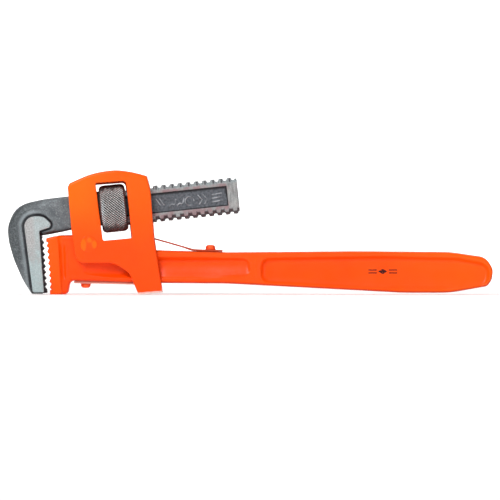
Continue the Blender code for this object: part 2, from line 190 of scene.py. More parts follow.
def handle_outline():
    return rounded(
        [
            (-124.6, 35.0, 1.5),
            (-118.5, 36.7, 9.0),
            (-95.5, 37.2, 5.0),
            (-86.0, 28.4, 9.0),
            (-16.0, 26.2, 300.0),
            (66.0, 26.9, 300.0),
            (123.0, 26.4, 60.0),
            (145.4, 23.2, 9.0),
            (150.2, 15.5, 8.0),
            (149.2, 9.0, 7.0),
            (146.4, 5.0, 4.0),
            (123.0, 0.95, 60.0),
            (94.2, 0.95, 200.0),
            (-14.0, 6.6, 160.0),
            (-62.0, 7.0, 60.0),
            (-111.6, 8.4, 2.5),
            (-113.3, 0.0, 3.0),
            (-121.6, 0.0, 0.0),
        ]
    )


def heel_outline():
    (top_x, top_z), (foot_x, foot_z) = HEEL_ROOTS
    back = rounded(
        [
            (foot_x - JAW_LAND, foot_z, 0.0),
            (foot_x - JAW_LAND, 0.0, 0.5),
            (-117.4, 0.0, 1.0),
            (-119.6, 36.5, 1.6),
            (top_x - JAW_LAND - 0.2, 34.8, 0.8),
            (top_x - JAW_LAND, top_z, 0.0),
        ]
    )
    return teeth(HEEL_ROOTS, -1) + back


def front_pocket_outline():
    return rounded([(-104.0, 12.0, 4.0), (-104.0, 21.6, 4.0), (-1.4, 21.6, 4.0), (-1.4, 11.6, 4.0)])


def grip_pocket_outline():
    return rounded(
        [
            (7.2, 21.4, 4.5),
            (80.0, 22.6, 150.0),
            (128.0, 21.4, 30.0),
            (147.4, 17.6, 6.0),
            (145.0, 6.6, 5.0),
            (121.0, 3.7, 60.0),
            (95.0, 3.6, 150.0),
            (7.2, 8.4, 4.5),
        ]
    )


def frame_arch():
    """The top of the frame, over the shank."""
    return smooth_line([(-112.2, 68.8), (-99.0, 74.3), (-85.5, 76.7), (-74.5, 75.8), (-64.5, 73.3)], 16)


def frame_outline():
    arch = frame_arch()
    sides = rounded(
        [
            (*arch[-1], 0.0),
            (-62.1, 64.0, 30.0),
            (-60.0, 35.0, 60.0),
            (*FOOT_CORNERS[1], 0.0),
            (*FOOT_CORNERS[0], 0.0),
            (-75.4, 13.6, 9.0),
            (-84.9, 19.4, 12.0),
            (-107.8, 19.3, 5.5),
            (-110.9, 38.0, 80.0),
            (-113.4, 66.4, 1.0),
            (*arch[0], 0.0),
        ]
    )
    return arch + sides[1:-1]


def frame_hollow_outline():
    """The space between the cheeks, open at both ends, below the arched top and above the foot of the leg."""
    inner_arch = [(x, z - FRAME_PLATE) for x, z in frame_arch()]
    (heel_x, heel_z), (toe_x, toe_z) = LEG_FOOT
    mouth_x = -125.0
    return [
        (mouth_x, inner_arch[0][1] - 3.0),
        *inner_arch,
        (toe_x, inner_arch[-1][1] - 4.0),
        (toe_x, toe_z + FRAME_PLATE),
        (heel_x, heel_z + FRAME_PLATE),
        (mouth_x, heel_z + FRAME_PLATE),
    ]


def window_outline():
    return rounded([(-96.2, 68.9, 1.0), (-77.4, 70.3, 2.4), (-73.6, 34.9, 1.0), (-91.6, 33.2, 1.0)])


def rear_bridge_outline():
    return rounded([(-72.0, 36.8, 1.0), (-62.0, 37.2, 1.0), (-62.2, 42.2, 1.0), (-71.8, 41.2, 1.0)])


def hook_outline():
    """The hook, from the foot of its nose up over its back to the shank, and back along its throat."""
    back = smooth_line(
        [
            (-135.8, 0.4),
            (-141.0, 8.6),
            (-146.6, 21.0),
            (-150.2, 34.0),
            (-149.9, 44.4),
            (-143.8, 54.0),
            (-132.0, 58.2),
            on_shank(-30.0, NECK_TOP),
            on_shank(NECK_END, NECK_TOP),
        ],
        10,
    )
    return back + throat_line() + [(-129.2, 0.4)]


def throat_line():
    """The underside of the hook, from its neck to the top of its teeth."""
    return smooth_line([on_shank(NECK_END, NECK_FOOT), (-111.1, 40.0), (-122.0, 37.8), (-131.2, 36.2)], 8)


def hook_teeth_outline():
    top_x = HOOK_ROOTS[0][0]
    foot_x, foot_z = HOOK_ROOTS[1]
    nose = [(foot_x + JAW_LAND, foot_z - 1.8), (foot_x + JAW_LAND + 0.1, 0.9)]
    back = [(-134.0, 0.9), (-136.0, 37.0), (-131.0, 37.0), (top_x + 0.5, 35.9)]
    return teeth(HOOK_ROOTS, 1) + nose + back


def hook_pad_outline():
    return rounded(
        [
            (-128.0, 1.3, 0.6),
            (-135.0, 1.3, 1.2),
            (-141.0, 47.8, 6.2),
            (-128.9, 48.6, 7.0),
            (-121.9, 42.2, 2.2),
            (-130.9, 39.3, 0.8),
        ]
    )


def upper_spring_line():
    """The middle of the upper leaf, from its free end by the rivet up to its tip inside the frame."""
    flat = UPPER_RIVET["face"] + GAP + SPRING_THICKNESS / 2
    bend = (-36.0, flat + 0.45)
    rising = smooth_line([bend, (-41.0, 29.1), (-59.3, 34.3), (-67.5, 35.85), (-71.5, 35.9)], 8)
    return [(-18.1, flat - 0.1), (-30.0, flat + 0.15), *rising]


def lower_spring_line():
    """The middle of the lower leaf, from its free end by the rivet to its tip inside the leg."""
    flat = LOWER_RIVET["face"] - GAP - SPRING_THICKNESS / 2
    drops = ((-98.0, 0.15), (-84.0, 0.5), (-72.0, 0.85), (-60.5, 1.1))
    return [(-109.2, flat + 0.1), *smooth_line([(x, flat - drop) for x, drop in drops], 8)]


# ---------------- distance fields


def line_distance(points, closed):
    """The distance to a line of points. To a closed line it is negative inside."""
    ends = points[1:] + points[:1] if closed else points[1:]

    def distance(x, z):
        nearest = np.full(np.broadcast(x, z).shape, np.inf)
        inside = np.zeros(nearest.shape, bool)
        for (ax, az), (bx, bz) in zip(points, ends):
            ex, ez = bx - ax, bz - az
            length = ex * ex + ez * ez
            if length == 0:
                continue
            t = np.clip(((x - ax) * ex + (z - az) * ez) / length, 0, 1)
            nearest = np.minimum(nearest, (x - ax - t * ex) ** 2 + (z - az - t * ez) ** 2)
            if closed and ez != 0:
                inside ^= ((az > z) != (bz > z)) & (x < ax + (z - az) * ex / ez)
        return np.where(inside, -1, 1) * np.sqrt(nearest)

    return distance


def slab(flat, y, half, radius):
    """A flat distance made a plate of this half thickness, with its edges rounded."""
    side = flat + radius
    face = np.abs(y) - (half - radius)
    return np.minimum(np.maximum(side, face), 0) + np.hypot(np.maximum(side, 0), np.maximum(face, 0)) - radius


def join(a, b, fillet):
    """Both shapes in one, with a fillet where they meet."""
    h = np.clip(0.5 + 0.5 * (b - a) / fillet, 0, 1)
    return b + (a - b) * h - fillet * h * (1 - h)


def common(a, b, fillet):
    """What two shapes share, with the edge where they meet rounded."""
    return -join(-a, -b, fillet)


def cut(a, b, fillet):
    """The first shape less the second, with its new edges rounded."""
    return -join(-a, b, fillet)


def step_up(value, low, high):
    """0 up to the low value, 1 from the high one on, and smooth between them."""
    t = np.clip((value - low) / (high - low), 0, 1)
    return t * t * (3 - 2 * t)


def step_down(value, low, high):
    """1 up to the low value, 0 from the high one on, and smooth between them."""
    return step_up(-value, -high, -low)


def bell(value, width):
    """1 at a value of zero, falling away on both sides over about this width."""
    return np.exp(-((value / width) ** 2))


def waviness(x, y, z, length):
    """A smooth hammered unevenness from -1 to 1, with bumps of about this length."""
    k = 2 * math.pi / length
    return (
        np.sin(k * (x + 0.6 * z) + 1.3)
        + np.sin(k * 0.73 * (z - 0.5 * x) + 0.4 * y + 4.1)
        + np.sin(k * 1.31 * (0.3 * x + 0.9 * z) - 0.5 * y + 2.2)
    ) / 3


def thread_surface(x, y, z, gap):
    """Negative inside a right-hand threaded rod along x, grown by a running gap."""
    turn = np.arctan2(y, -z) / (2 * math.pi)
    middle = THREAD_LEAD + FLANK_WIDTH + CREST_WIDTH / 2
    away = np.abs((x / PITCH - turn - middle / PITCH + 0.5) % 1 - 0.5) * PITCH
    rise = step_up(CREST_WIDTH / 2 + FLANK_WIDTH + gap - away, 0, FLANK_WIDTH)
    radius = CREST_R - THREAD_DEPTH + gap + THREAD_DEPTH * rise
    slope = math.cos(math.atan(THREAD_DEPTH / FLANK_WIDTH))
    on_flank = (rise > 0.02) & (rise < 0.98)
    return (np.hypot(y, z) - radius) * np.where(on_flank, slope, 1.0)


# ---------------- from a field to a mesh


def corner_values(values, places):
    """Values of a grid at places between its points, by linear interpolation."""
    base = np.clip(np.floor(places).astype(int), 0, np.array(values.shape) - 2)
    part = places - base
    found = np.zeros(len(places))
    for corner in np.ndindex(2, 2, 2):
        weight = np.prod(np.where(corner, part, 1 - part), axis=1)
        found += weight * values[tuple((base + corner).T)]
    return found


def surface_net(values):
    """The zero surface of a grid of values, as points in grid steps and quads whose normals point out."""
    cells = np.array(values.shape) - 1
    strides = np.array((cells[1] * cells[2], cells[2], 1))
    total = int(np.prod(cells))
    sums = np.zeros((3, total))
    hits = np.zeros(total)
    quads = []
    for axis in range(3):
        across, beyond = (axis + 1) % 3, (axis + 2) % 3
        count = values.shape[axis]
        first = values.take(range(count - 1), axis)
        second = values.take(range(1, count), axis)
        at = np.argwhere((first < 0) != (second < 0))
        low, high = first[tuple(at.T)], second[tuple(at.T)]
        crossing = at.astype(float)
        crossing[:, axis] += low / (low - high)
        ring = []
        for back in ((0, 0), (1, 0), (1, 1), (0, 1)):
            cell = at.copy()
            cell[:, across] -= back[0]
            cell[:, beyond] -= back[1]
            index = cell @ strides
            ring.append(index)
            hits += np.bincount(index, minlength=total)
            for k in range(3):
                sums[k] += np.bincount(index, weights=crossing[:, k], minlength=total)
        ring = np.stack(ring, axis=1)
        quads.append(np.where((low < 0)[:, None], ring, ring[:, ::-1]))
    used = np.flatnonzero(hits)
    number = np.zeros(total, int)
    number[used] = np.arange(len(used))
    return (sums[:, used] / hits[used]).T, number[np.concatenate(quads)]


def solid(name, field, low, high, step, place=Matrix()):
    """Meshes a field between two corners, in millimetres, with smooth normals from the field's own slope.

    Returns the object and its points in the field's own frame. A shape of its own frame is put in its
    place in the wrench by the matrix."""
    axes = [np.arange(a - 2 * step, b + 3 * step, step) for a, b in zip(low, high)]
    x, y, z = np.meshgrid(*axes, indexing="ij", sparse=True)
    shape = tuple(len(axis) for axis in axes)
    values = np.ascontiguousarray(np.broadcast_to(field(x, y, z), shape))
    places, quads = surface_net(values)
    slopes = np.gradient(values)
    least_slope = 0.05
    for _ in range(2):
        normals = np.stack([corner_values(slope, places) for slope in slopes], axis=1)
        steepness = np.maximum(np.linalg.norm(normals, axis=1, keepdims=True), least_slope)
        normals /= steepness
        places -= np.clip(corner_values(values, places)[:, None] / steepness, -0.5, 0.5) * normals
    points = places * step + np.array([axis[0] for axis in axes])
    turn = np.array(place.to_3x3())
    world = (points @ turn.T + np.array(place.translation)) * MM
    mesh = bpy.data.meshes.new(name)
    mesh.from_pydata(world, [], quads)
    mesh.polygons.foreach_set("use_smooth", np.ones(len(quads), bool))
    mesh.normals_split_custom_set_from_vertices(normals @ turn.T)
    made = bpy.data.objects.new(name, mesh)
    bpy.context.scene.collection.objects.link(made)
    return made, points


def mask(piece, name, values):
    """Stores one number for each point of a piece, from 0 to 1, for its material to read."""
    layer = piece.data.attributes.new(name, "FLOAT", "POINT")
    layer.data.foreach_set("value", np.clip(values, 0, 1).astype(np.float32))


# ---------------- pieces


def pocket(line, x, z, depth, web, top, foot, rise):
    """A forged pocket with leaning walls, whose floor is deepest under its top and rises to its foot."""
    inset = 0.7
    lean = 0.7
    floor = web + rise * np.clip((top - z) / (top - foot), 0, 1) ** 2
    wall = (line(x, z) + inset - lean * (depth - web)) * math.cos(math.atan(lean))
    return common(wall, floor - depth, 1.2)


def forging_marks(x, z):
    """How far the forging stands proud of its plain faces: ridges on the land, a groove by the heel."""
    plain_ridge = 0.30 * bell(x - 3.2, 1.1)
    ragged = 0.65 + 0.35 * np.sin(1.6 * z)
    leaning_ridge = 0.4 * ragged * bell(x - 7.9 - 0.1 * (15 - z), 1.1)
    on_land = step_up(z, 9.0, 12.0) * step_down(z, 20.0, 24.0)
    past_heel = x + 115.0 - 0.041 * (34.9 - z)
    heel_edge = 0.5 * bell(past_heel, 0.6) - 0.9 * bell(past_heel + 2.0, 1.3)
    along_heel = step_up(z, 8.0, 12.0) * step_down(z, 29.0, 33.0)
    return (plain_ridge + leaning_ridge) * on_land + heel_edge * along_heel


def make_handle():
    bar_line = line_distance(handle_outline(), True)
    heel_line = line_distance(heel_outline(), True)
    front_line = line_distance(front_pocket_outline(), True)
    grip_line = line_distance(grip_pocket_outline(), True)
    draft = 0.03
    parting_ridge = 0.10
    edge_radius = 1.9
    heel_fillet = 3.0

    def field(x, y, z):
        """The bar, drafted from its parting line and pocketed at the front and in the grip, and its heel."""
        depth = np.abs(y)
        bar_flat, heel_flat = bar_line(x, z), heel_line(x, z)
        drafted = bar_flat + draft * depth + parting_ridge * (1 - bell(y, 0.9))
        bar = slab(drafted, y, HANDLE_HALF, edge_radius)
        bar = bar - forging_marks(x, z) * step_up(depth, 4.0, 6.5)
        web = FRONT_WEB_HALF + 2.6 * step_down(x, -105.0, -82.0) + 1.3 * step_up(x, -36.0, 0.0)
        rise = 2.4 * step_up(x, -66.0, -52.0)
        bar = cut(bar, pocket(front_line, x, z, depth, web, top=21.0, foot=12.0, rise=rise), 0.6)
        web = GRIP_WEB_HALF - 0.3
        bar = cut(bar, pocket(grip_line, x, z, depth, web, top=19.0, foot=5.0, rise=1.9), 0.7)
        bar = bar + 0.05 * waviness(x, y, z, 17.0)
        heel_radius = 0.45 + 0.9 * step_up(z, 30.5, 33.5)
        heel = slab(heel_flat, y, HEEL_HALF, heel_radius)
        return np.maximum(join(bar, heel, heel_fillet), np.minimum(bar_flat, heel_flat))

    piece, points = solid("handle_body", field, (-127.5, -9.5, 0.0), (151.0, 9.5, 37.2), 0.42)
    x, y, z = points.T
    # Painted light and shade: the heel block, the flanges beside the pockets and the grip's end are painted
    # lighter, and the plate by the frame darker.
    heel_light = 0.32 * step_down(x, -118.0, -115.5)
    grip_light = 0.10 * step_up(x, -50.0, 30.0) + 0.32 * step_up(x, 60.0, 130.0)
    off_pockets = step_up(np.minimum(front_line(x, z), grip_line(x, z)), 0.0, 1.0)
    land_light = 0.14 * off_pockets * step_up(x, -64.0, -60.0)
    mask(piece, "painted_light", 0.05 + heel_light + grip_light + land_light)
    # Painted shade: the rounding along the handle's lower edges is painted darker.
    outline = np.minimum(bar_line(x, z), heel_line(x, z))
    rounding = step_up(np.abs(y), HANDLE_HALF - 3.0, HANDLE_HALF - 1.4)
    lower_edge = step_down(z, 10.0, 14.0) * (1 - 0.6 * step_down(x, -70.0, -62.0))
    mask(piece, "edge", bell(outline + 0.2, 0.8) * rounding * lower_edge)
    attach(piece, "handle")
    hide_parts("handle")
    return piece


def above_foot(x, z):
    """The height above the sloping foot of the frame's leg."""
    (heel_x, heel_z), (toe_x, toe_z) = FOOT_CORNERS
    slope = math.atan2(toe_z - heel_z, toe_x - heel_x)
    return (z - heel_z) * math.cos(slope) - (x - heel_x) * math.sin(slope)


def make_frame():
    outer_line = line_distance(frame_outline(), True)
    hollow_line = line_distance(frame_hollow_outline(), True)
    window_line = line_distance(window_outline(), True)
    bridge_line = line_distance(rear_bridge_outline(), True)
    foot_bevel = 1.1

    def field(x, y, z):
        """Two cheeks round a hollow, with a window through both, a bridge between and a bevelled foot."""
        outer_flat = outer_line(x, z)
        edge_radius = 0.8 + 0.8 * step_up(z, 58.0, 69.0)
        outer = slab(outer_flat, y, FRAME_HALF, edge_radius)
        bevel = (np.abs(y) - FRAME_HALF + foot_bevel - above_foot(x, z)) / math.sqrt(2)
        outer = common(outer, bevel, 0.3)
        shell = cut(outer, slab(hollow_line(x, z), y, FRAME_INNER_HALF, 1.5), 0.5)
        shell = join(shell, slab(bridge_line(x, z), y, BRIDGE_HALF, 0.5), 0.8)
        far = y > 0
        window = window_line(x - FAR_WINDOW_SHIFT[0] * far, z - FAR_WINDOW_SHIFT[1] * far)
        shell = cut(shell, window, 0.6) + 0.03 * waviness(x, y, z, 30.0)
        return np.maximum(shell, outer_flat)

    piece, points = solid("frame_shell", field, (-113.6, -11.5, 0.0), (-54.5, 11.5, 76.8), 0.42)
    x, y, z = points.T
    # Painted highlight: the bevel on the foot is painted a pale pink, as if lit from below.
    mask(piece, "foot_highlight", step_down(above_foot(x, z), foot_bevel - 0.2, foot_bevel + 0.2))
    # Painted light: the cheeks are painted lighter towards the top and the upper left, where the key light
    # falls.
    upper_left = step_down(x, -108.0, -82.0) * step_up(z, 32.0, 60.0)
    mask(piece, "painted_light", 0.12 + 0.46 * step_up(z, 24.0, 70.0) + 0.42 * upper_left)
    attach(piece, "frame")
    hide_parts("frame")
    return piece


def make_pivot_pin():
    # The lobes that the peening left: the middle of each, its two half widths and its height.
    lobes = ((-3.3, -0.8, 2.2, 4.8, 0.5), (0.5, 2.4, 2.0, 2.3, 0.35), (3.7, -0.4, 2.1, 3.1, 0.45))
    spread = PIN_HEAD_R + 0.6
    seat = FRAME_HALF - 0.2

    def lobed(x, y):
        height = 0
        for middle_x, middle_y, half_x, half_y, high in lobes:
            height = height + high * bell(np.hypot((x - middle_x) / half_x, (y - middle_y) / half_y), 0.8)
        return height

    def field(x, y, z):
        """A pin along z, with a lobed head at each end."""
        reach = np.hypot(x, y)
        top = FRAME_HALF + 0.08 + lobed(x, y)
        head = common(reach - spread, np.abs(z) - top, 0.2)
        head = np.maximum(head, seat - np.abs(z))
        rod = np.maximum(reach - PIN_R, np.abs(z) - seat)
        return np.minimum(head, rod)

    upright = Matrix.Translation((PIVOT[0], 0, PIVOT[1])) @ Matrix.Rotation(math.pi / 2, 4, "X")
    high = (PIN_HEAD_R + 0.8, PIN_HEAD_R + 0.8, FRAME_HALF + 1.3)
    piece, points = solid("peened_pin", field, tuple(-v for v in high), high, 0.22, upright)
    x, y, z = points.T
    # Painted highlights: the peened lobes are painted lighter than the rest of the head.
    mask(piece, "painted_light", 0.2 + 1.2 * step_up(lobed(x, y), 0.1, 0.36))
    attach(piece, "handle")
    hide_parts("pivot_pin")
    return piece


def make_nut():
    knurl_count = 54
    knurl_depth = 0.62
    half = NUT_LENGTH / 2

    def knurl(x, y, z):
        """The height of the diamond knurl, from 0 in its grooves, cut deeper one way, to 1 on its points."""
        flattening = 1.45
        shallower = 0.25
        turn = np.arctan2(y, z) / (2 * math.pi) * knurl_count
        along = x / (2 * math.pi * NUT_R / knurl_count)
        one = 1 - 2 * np.abs((turn + along) % 1 - 0.5)
        other = 1 - 2 * np.abs((turn - along) % 1 - 0.5)
        return np.minimum(flattening * np.minimum(one, shallower + other), 1)

    def field(x, y, z):
        """A knurled ring along x, chamfered at both ends, with a threaded bore that opens at its mouths."""
        radius = np.hypot(y, z)
        rim = NUT_R - knurl_depth * (1 - knurl(x, y, z))
        body = common(radius - rim, np.abs(x) - half, 0.3)
        chamfer = (radius + np.abs(x) - (NUT_R + half - NUT_CHAMFER)) / math.sqrt(2)
        body = common(body, chamfer, 1.2)
        bore = thread_surface(x, y, z, THREAD_GAP)
        lead_in = (radius + half - np.abs(x) - CREST_R - 1.4) / math.sqrt(2)
        return cut(body, np.minimum(bore, lead_in), 0.2)

    low, high = (-half, -NUT_R, -NUT_R), (half, NUT_R, NUT_R)
    piece, points = solid("knurled_nut", field, low, high, 0.2, SHANK_AXIS)
    x, y, z = points.T
    radius = np.hypot(y, z)
    height = z / NUT_R
    on_rim = step_up(radius, NUT_R - 0.9, NUT_R - 0.7)
    mask(piece, "groove", on_rim * (1 - knurl(x, y, z)))
    # Painted shade on the top and the bottom of the nut in the frame's window, dark red as a painted
    # reflection of the frame.
    uneven = 0.04 * np.sin(0.9 * x + 1.0) + 0.03 * np.sin(2.1 * x)
    upper_shade = step_up(height + uneven, 0.74, 0.86)
    lower_shade = 0.85 * step_up(-height + uneven, 0.58, 0.84)
    mask(piece, "top_and_bottom_shade", np.maximum(upper_shade, lower_shade))
    # The nut's end faces are darker.
    mask(piece, "end_face", (1 - on_rim) * step_up(radius, CREST_R + 0.9, CREST_R + 1.6))
    # Painted highlights: a pale bluish streak near the left end and a spot near the right end.
    wandering = 1.5 + 0.5 * (1 + np.sin(0.35 * z))
    left_glint = bell(x + half - wandering, 0.9) * step_down(height, -0.1, 0.7)
    right_glint = bell(x - half + 1.2, 0.9) * bell(height - 0.05, 0.6)
    mask(piece, "painted_highlight", left_glint + right_glint)
    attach(piece, "nut")
    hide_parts("adjusting_nut")
    return piece


def relief_lines():
    """A plain raised pattern of bars, waves, a ring and chevrons for the bottom of the shank's panel."""
    lines = []
    for start in (27.0, 29.2):
        lines.append([(start, 2.6), (start + 2.2, -1.2)])
    wave = ((0.0, -2.4), (1.8, -1.2), (3.4, -1.6), (4.6, 1.4))
    for start in (34.5, 39.5):
        lines.append(smooth_line([(start + along, across) for along, across in wave], 4))
    ring_r = 2.7
    angles = [k * math.pi / 9 for k in range(15)]
    lines.append([(47.4 + ring_r * math.cos(angle), -0.4 + ring_r * math.sin(angle)) for angle in angles])
    for start in (53.0, 56.2):
        lines.append([(start, 2.4), (start + 2.3, -0.4), (start + 0.4, -3.0)])
    for height in (1.9, -0.3, -2.5):
        lines.append([(61.6, height), (67.6, height + 0.5)])
    return lines


def off_shank(x, z):
    """How far a place in the wrench is along and across the shank, from the nut's middle."""
    dx, dz = x - NUT_CENTRE[0], z - NUT_CENTRE[1]
    cos_rise, sin_rise = math.cos(SHANK_RISE), math.sin(SHANK_RISE)
    return dx * cos_rise + dz * sin_rise, dz * cos_rise - dx * sin_rise


def off_panel(along, across):
    """How far a place is outside the shank's sunk panel. It is negative inside it."""
    beside = np.maximum(PANEL_ENDS[0] - along, along - PANEL_ENDS[1])
    above = np.maximum(across - PANEL_TOP, PANEL_FOOT - across)
    return np.maximum(beside, above)


def relief(along, across):
    """The height of the raised pattern, from 0 on the panel's floor to 1 on top of its lines."""
    lines = [line_distance(line, False) for line in relief_lines()]
    nearest = np.minimum.reduce([line(along, across) for line in lines])
    return step_down(nearest, 0.05, 0.5)


def hook_field(x, y, z):
    """The forged hook, thinner and sharper-edged towards the shank, with its toothed strip and ground pad."""
    hook_flat = line_distance(hook_outline(), True)(x, z)
    pad_flat = line_distance(hook_pad_outline(), True)(x, z)
    strip_flat = line_distance(hook_teeth_outline(), True)(x, z)
    along = off_shank(x, z)[0]
    edge_radius = 4.8 - 3.4 * step_up(along, -46.0, -30.0)
    half = HOOK_HALF - 0.5 * step_up(along, -34.0, -14.0)
    body = slab(hook_flat, y, half, edge_radius) + 0.07 * waviness(x, y, z, 11.0)
    shoulder = slab(pad_flat - 3.4, y, HOOK_HALF + 0.8, 1.9)
    shoulder = common(shoulder, hook_flat + 1.2, 0.8)
    body = join(body, shoulder, 1.0)
    on_face = step_up(np.abs(y), HOOK_HALF - 1.5, HOOK_HALF - 0.5)
    gutter = 0.85 * bell(pad_flat - 0.7, 0.6) * on_face
    body = join(body + gutter, slab(strip_flat, y, HOOK_TEETH_HALF, 0.3), 0.3)
    return join(body, slab(pad_flat, y, HOOK_PAD_HALF, 0.4), 0.25)


def shank_field(along, y, across):
    """A threaded rod with a flat on both sides and a chamfered end."""
    end_chamfer = 1.5
    into_hook = 2.0
    bar = common(thread_surface(along, y, across, 0), np.abs(y) - SHANK_HALF, 0.35)
    bar = np.maximum(bar, NECK_END - into_hook - along)
    bar = common(bar, along - SHANK_END, 0.6)
    chamfer = (along + np.abs(across) - SHANK_END - CREST_R + end_chamfer) / math.sqrt(2)
    return common(bar, chamfer, 0.4)


def mask_hook(piece, points):
    """Marks the ground pad, the painted highlight band and the painted shade in the gutter round it, the
    black teeth, and the painted shade under the throat and on the outer rim.
    """
    x, y, z = points.T
    along = off_shank(x, z)[0]
    pad_flat = line_distance(hook_pad_outline(), True)(x, z)
    strip_flat = line_distance(hook_teeth_outline(), True)(x, z)
    throat_flat = line_distance(throat_line(), False)(x, z)
    past_side = x - teeth_side(z)
    on_pad = step_up(np.abs(y), HOOK_PAD_HALF - 0.5, HOOK_PAD_HALF - 0.1) * step_down(pad_flat, -0.1, 0.2)
    mask(piece, "ground", on_pad)
    mask(piece, "cool", step_down(z, 14.0, 32.0) + 0.7 * step_up(past_side, -4.5, -1.5))
    # Painted shade in the gutter round the pad.
    gutter = bell(pad_flat - 0.7, 0.75) * step_down(along, -30.0, -20.0)
    gutter = gutter * (0.75 + 0.25 * step_up(x, -138.0, -130.0))
    # The toothed strip is black: black oxide, and painted shade on faces turned from the light.
    black_teeth = step_down(strip_flat, 0.0, 0.4) * step_up(past_side, -0.2, 0.3) * step_down(z, 37.4, 38.0)
    # Painted shade under the throat.
    under_throat = 0.9 * bell(throat_flat, 1.7) * step_down(along, -24.0, -14.0)
    mask(piece, "dark", np.maximum.reduce((gutter, black_teeth, under_throat)) * (1 - on_pad))
    # Painted highlight: a pale band on the shoulder round the pad.
    band_highlight = bell(pad_flat - 2.7, 0.9) * (0.45 + 0.55 * step_down(x, -138.0, -128.0))
    mask(piece, "band_highlight", band_highlight * (1 - on_pad))
    # Painted shade: the hook's outer rim, left of the pad and above its foot, is painted darker than the
    # scale.
    mask(piece, "scale", step_up(pad_flat, 3.6, 4.8) * step_down(x, -140.0, -128.0) * step_up(z, 10.0, 24.0))


def mask_shank(piece, points):
    """Marks the shank's panel with the painted shade in its corners and its pattern, the rim round it, and
    the painted light and shade on the thread.
    """
    x, y, z = points.T
    along, across = off_shank(x, z)
    on_bar = step_up(along, -2.0, 8.0)
    inward = -off_panel(along, across)
    sunk = step_down(np.abs(y), SHANK_HALF - 0.5, SHANK_HALF - 0.15)
    inside = step_up(inward, -0.1, 0.1) * sunk * step_up(along, NECK_END, NECK_END + 1)
    mask(piece, "panel", inside * on_bar)
    # Painted shade in the panel's corners, widest along its upper side.
    shade = 0.85 + 0.75 * step_up(across, 0.0, 3.0)
    mask(piece, "corner", step_down(inward, 0.6 * shade, 1.3 * shade) * inside * on_bar)
    mask(piece, "rim", (1 - inside) * on_bar)
    mask(piece, "relief", relief(along, across) * inside * on_bar)
    # Painted shade: the lower edges of the thread and a spot beside each upper crest are painted near black.
    lower_edge = step_up(thread_surface(along, y, across, 0), -0.75, -0.3) * step_down(across, -2.0, 0.0)
    first_spot = 1.6 - 0.25 * PITCH
    turn = (along + first_spot) / PITCH % 1
    upper_spots = bell(turn - 0.5, 0.12) * step_up(across, CREST_R - 3.1, CREST_R - 2.4)
    mask(piece, "root", np.maximum(0.85 * lower_edge, upper_spots) * on_bar * (1 - inside))
    # Painted light: the upper crests of the thread are painted a paler blue-grey.
    mask(piece, "lit_upper_crests", step_up(across, CREST_R - 3.6, CREST_R - 2.6) * on_bar)
    mask(piece, "tip", step_up(along, 70.5, 72.5) * (1 - inside))


def make_hook_jaw():
    wall_lean = 0.5

    def field(x, y, z):
        """The hook and its shank, with a panel sunk in each flat of the shank."""
        depth = np.abs(y)
        along, across = off_shank(x, z)
        jaw = join(hook_field(x, y, z), shank_field(along, y, across), 0.6)
        wall = off_panel(along, across) + wall_lean * (SHANK_HALF - depth)
        floor = SHANK_PANEL_HALF + RELIEF_HEIGHT * relief(along, across)
        return cut(jaw, common(wall, floor - depth, 0.35), 0.3)

    piece, points = solid("forged_hook_jaw", field, (-150.8, -9.7, 0.2), (-6.0, 9.7, 72.2), 0.34)
    mask_hook(piece, points)
    mask_shank(piece, points)
    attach(piece, "hook_jaw")
    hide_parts("hook_jaw")
    return piece


def teeth_side(z):
    """The x of the line along which the ground pad ends and the black toothed strip begins."""
    (top_x, top_z), (foot_x, foot_z) = (-130.9, 38.6), (-128.5, 1.3)
    return top_x + (top_z - z) * (foot_x - top_x) / (top_z - foot_z)


def make_spring(name, line, node, rivet, low, high, seated, closing):
    """A leaf spring. It is thickened by its rivet, where it lies on the handle, to close the gap between."""
    curve = line_distance(line, False)

    def field(x, y, z):
        towards = rivet["up"] * closing * step_down(np.abs(x - rivet["x"]), seated - 4.0, seated)
        leaf = np.minimum(curve(x, z), curve(x, z + towards)) - SPRING_THICKNESS / 2
        return common(leaf, np.abs(y) - SPRING_HALF, 0.3)

    piece, points = solid(name, field, low, high, 0.28)
    x, y, z = points.T
    # Painted shade: the leaves' sides are painted a darker brown.
    mask(piece, "side", step_up(np.abs(y), SPRING_HALF - 0.4, SPRING_HALF - 0.15))
    # Painted reflection: the lower leaf is painted paler, most at its lowest, as if lit by the floor.
    mask(piece, "pale", 0.5 * step_down(z, 8.0, 8.6) + 0.5 * step_down(z, 6.2, 7.3))
    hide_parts(node)
    return piece


